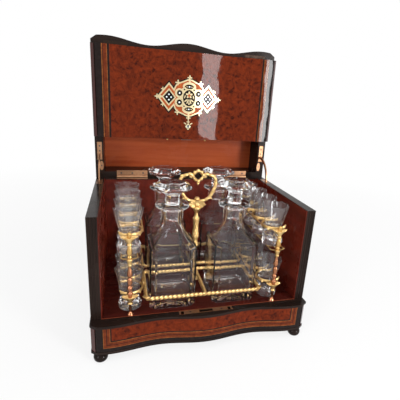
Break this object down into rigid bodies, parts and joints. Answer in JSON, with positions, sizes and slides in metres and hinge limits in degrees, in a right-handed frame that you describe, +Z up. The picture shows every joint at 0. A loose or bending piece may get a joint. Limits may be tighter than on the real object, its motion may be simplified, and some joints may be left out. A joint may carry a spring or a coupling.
{
  "type": "antique tantalus",
  "caption": "Serpentine-front liqueur box with a lifting lid and a fold-out front flap, holding a lift-out gilt rack of square decanters and small fluted glasses.",
  "frame": {"origin": "centre of the bounding box at the level of the feet, with the lid open as in the picture", "axes": "+Z up, the serpentine front faces -Y, +X to the right as seen from the front"},
  "size_m": [0.33, 0.2926, 0.455],
  "materials": {
    "ebonised_wood": "polished",
    "burr_veneer": "polished",
    "marquetry": "polished",
    "lining_wood": "polished",
    "gilt_brass": "polished",
    "coppery_brass": "brushed",
    "grey_steel": "satin",
    "cut_glass": "clear"
  },
  "bodies": {
    "case": {"plinth": "ebonised_wood", "plinth_panel": "burr_veneer", "bun_feet": "ebonised_wood", "floor_board": "lining_wood", "case_back": "ebonised_wood", "case_side_left": "ebonised_wood", "case_side_right": "ebonised_wood", "case_lining": "lining_wood", "strike_plate": "coppery_brass", "stay_slot_plates": "coppery_brass", "hinge_leaves_case": "coppery_brass", "case_screws": "grey_steel"},
    "lid_pins": {"lid_hinge_pins": "coppery_brass"},
    "lid": {"lid_top": "ebonised_wood", "lid_rims": "ebonised_wood", "lid_lining": "lining_wood", "hinge_leaves_lid": "coppery_brass", "stay_left": "coppery_brass", "stay_right": "coppery_brass", "lid_screws": "grey_steel", "flap_hinge_lid": "coppery_brass"},
    "flap": {"flap_panel": "ebonised_wood", "flap_veneer": "burr_veneer", "medallion": "marquetry", "keyhole_escutcheon": "gilt_brass", "lock_case": "gilt_brass", "locating_pins": "gilt_brass", "flap_hinge_leaves": "coppery_brass"},
    "bolt": {"lock_bolt": "grey_steel"},
    "rack": {"rack_base": "lining_wood", "rack_rails": "gilt_brass", "rack_posts": "gilt_brass", "glass_holders": "gilt_brass", "rack_pole": "gilt_brass", "rack_handle": "gilt_brass"},
    "glass_upper_l1": {"glass_upper_l1": "cut_glass"},
    "glass_upper_l2": {"glass_upper_l2": "cut_glass"},
    "glass_upper_l3": {"glass_upper_l3": "cut_glass"},
    "glass_upper_l4": {"glass_upper_l4": "cut_glass"},
    "glass_upper_r1": {"glass_upper_r1": "cut_glass"},
    "glass_upper_r2": {"glass_upper_r2": "cut_glass"},
    "glass_upper_r3": {"glass_upper_r3": "cut_glass"},
    "glass_upper_r4": {"glass_upper_r4": "cut_glass"},
    "glass_lower_l1": {"glass_lower_l1": "cut_glass"},
    "glass_lower_l2": {"glass_lower_l2": "cut_glass"},
    "glass_lower_l3": {"glass_lower_l3": "cut_glass"},
    "glass_lower_l4": {"glass_lower_l4": "cut_glass"},
    "glass_lower_r1": {"glass_lower_r1": "cut_glass"},
    "glass_lower_r2": {"glass_lower_r2": "cut_glass"},
    "glass_lower_r3": {"glass_lower_r3": "cut_glass"},
    "glass_lower_r4": {"glass_lower_r4": "cut_glass"},
    "decanter_fl": {"decanter_fl": "cut_glass"},
    "stopper_fl": {"stopper_fl": "cut_glass"},
    "decanter_fr": {"decanter_fr": "cut_glass"},
    "stopper_fr": {"stopper_fr": "cut_glass"},
    "decanter_bl": {"decanter_bl": "cut_glass"},
    "stopper_bl": {"stopper_bl": "cut_glass"},
    "decanter_br": {"decanter_br": "cut_glass"},
    "stopper_br": {"stopper_br": "cut_glass"}
  },
  "joints": [
    {"name": "lid_turn_on_case", "type": "hinge", "parent": "case", "child": "lid_pins", "pos_m": [0, 0.09015, 0.213], "axis": [1, 0, 0], "range_deg": [0, 50]},
    {"name": "lid_turn_on_pins", "type": "hinge", "parent": "lid_pins", "child": "lid", "pos_m": [0, 0.09015, 0.213], "axis": [1, 0, 0], "range_deg": [0, 40]},
    {"name": "flap_fold", "type": "hinge", "parent": "lid", "child": "flap", "pos_m": [0, 0.08615, 0.4356], "axis": [-1, 0, 0], "range_deg": [0, 90]},
    {"name": "bolt_throw", "type": "slide", "parent": "flap", "child": "bolt", "axis": [0, 0, -1], "range_m": [0, 0.005]},
    {"name": "rack_lift", "type": "slide", "parent": "case", "child": "rack", "axis": [0, 0, -1], "range_m": [-0.17, 0]},
    {"name": "glass_upper_l1_lift", "type": "slide", "parent": "rack", "child": "glass_upper_l1", "axis": [0, 0, -1], "range_m": [-0.06, 0]},
    {"name": "glass_upper_l2_lift", "type": "slide", "parent": "rack", "child": "glass_upper_l2", "axis": [0, 0, -1], "range_m": [-0.06, 0]},
    {"name": "glass_upper_l3_lift", "type": "slide", "parent": "rack", "child": "glass_upper_l3", "axis": [0, 0, -1], "range_m": [-0.06, 0]},
    {"name": "glass_upper_l4_lift", "type": "slide", "parent": "rack", "child": "glass_upper_l4", "axis": [0, 0, -1], "range_m": [-0.06, 0]},
    {"name": "glass_upper_r1_lift", "type": "slide", "parent": "rack", "child": "glass_upper_r1", "axis": [0, 0, -1], "range_m": [-0.06, 0]},
    {"name": "glass_upper_r2_lift", "type": "slide", "parent": "rack", "child": "glass_upper_r2", "axis": [0, 0, -1], "range_m": [-0.06, 0]},
    {"name": "glass_upper_r3_lift", "type": "slide", "parent": "rack", "child": "glass_upper_r3", "axis": [0, 0, -1], "range_m": [-0.06, 0]},
    {"name": "glass_upper_r4_lift", "type": "slide", "parent": "rack", "child": "glass_upper_r4", "axis": [0, 0, -1], "range_m": [-0.06, 0]},
    {"name": "glass_lower_l1_lift", "type": "slide", "parent": "rack", "child": "glass_lower_l1", "axis": [0, 0, -1], "range_m": [-0.018, 0]},
    {"name": "glass_lower_l2_lift", "type": "slide", "parent": "rack", "child": "glass_lower_l2", "axis": [0, 0, -1], "range_m": [-0.018, 0]},
    {"name": "glass_lower_l3_lift", "type": "slide", "parent": "rack", "child": "glass_lower_l3", "axis": [0, 0, -1], "range_m": [-0.018, 0]},
    {"name": "glass_lower_l4_lift", "type": "slide", "parent": "rack", "child": "glass_lower_l4", "axis": [0, 0, -1], "range_m": [-0.018, 0]},
    {"name": "glass_lower_r1_lift", "type": "slide", "parent": "rack", "child": "glass_lower_r1", "axis": [0, 0, -1], "range_m": [-0.018, 0]},
    {"name": "glass_lower_r2_lift", "type": "slide", "parent": "rack", "child": "glass_lower_r2", "axis": [0, 0, -1], "range_m": [-0.018, 0]},
    {"name": "glass_lower_r3_lift", "type": "slide", "parent": "rack", "child": "glass_lower_r3", "axis": [0, 0, -1], "range_m": [-0.018, 0]},
    {"name": "glass_lower_r4_lift", "type": "slide", "parent": "rack", "child": "glass_lower_r4", "axis": [0, 0, -1], "range_m": [-0.018, 0]},
    {"name": "decanter_fl_lift", "type": "slide", "parent": "rack", "child": "decanter_fl", "axis": [0, 0, -1], "range_m": [-0.12, 0]},
    {"name": "stopper_fl_lift", "type": "slide", "parent": "decanter_fl", "child": "stopper_fl", "axis": [0, 0, -1], "range_m": [-0.045, 0]},
    {"name": "decanter_fr_lift", "type": "slide", "parent": "rack", "child": "decanter_fr", "axis": [0, 0, -1], "range_m": [-0.12, 0]},
    {"name": "stopper_fr_lift", "type": "slide", "parent": "decanter_fr", "child": "stopper_fr", "axis": [0, 0, -1], "range_m": [-0.045, 0]},
    {"name": "decanter_bl_lift", "type": "slide", "parent": "rack", "child": "decanter_bl", "axis": [0, 0, -1], "range_m": [-0.12, 0]},
    {"name": "stopper_bl_lift", "type": "slide", "parent": "decanter_bl", "child": "stopper_bl", "axis": [0, 0, -1], "range_m": [-0.045, 0]},
    {"name": "decanter_br_lift", "type": "slide", "parent": "rack", "child": "decanter_br", "axis": [0, 0, -1], "range_m": [-0.12, 0]},
    {"name": "stopper_br_lift", "type": "slide", "parent": "decanter_br", "child": "stopper_br", "axis": [0, 0, -1], "range_m": [-0.045, 0]}
  ],
  "couplings": [
    {"joint": "flap_fold", "follows": "lid_turn_on_case", "ratio": 1.8}
  ]
}
